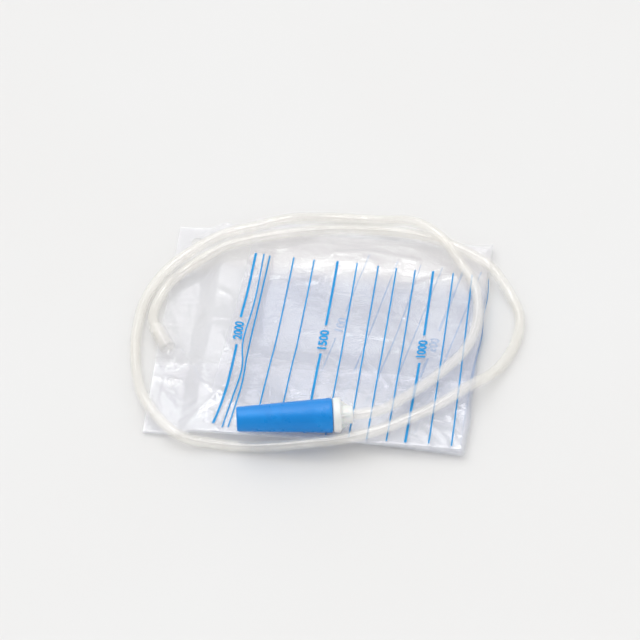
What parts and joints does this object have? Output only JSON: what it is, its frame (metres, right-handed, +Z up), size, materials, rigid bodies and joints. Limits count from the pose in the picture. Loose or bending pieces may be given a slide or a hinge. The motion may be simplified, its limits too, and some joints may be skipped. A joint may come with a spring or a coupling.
{
  "type": "urine drainage bag",
  "caption": "Folded flat film urine collection bag with a volume scale, a coiled clear inlet tube and a stepped connector under a pull-off blue cap.",
  "frame": {"origin": "on the floor under the middle of the folded bag, without its tube, connector and cap", "axes": "+X along the bag from its top edge, with the inlet, to the fold across it, -Y the side folded under, +Z up from the face it lies on"},
  "size_m": [0.206, 0.1729, 0.0257],
  "materials": {
    "printed_film": "clear soft PVC film with a lilac tint and a blue printed scale",
    "back_film": "clear soft PVC film with a lilac tint",
    "port": "clear soft PVC",
    "valve_film": "clear soft PVC film",
    "tube": "clear soft PVC tube, slightly cream",
    "connector": "cream white moulded plastic",
    "cap": "smooth blue moulded plastic"
  },
  "bodies": {
    "bag": {"front_film": "printed_film", "back_film": "back_film", "inlet_port": "port", "non_return_valve": "valve_film", "inlet_tube": "tube", "tube_connector": "connector"},
    "cap": {"connector_cap": "cap"}
  },
  "joints": [
    {"name": "cap_pull", "type": "slide", "parent": "bag", "child": "cap", "axis": [-0.9887, -0.15, 0], "range_m": [0, 0.042]}
  ]
}
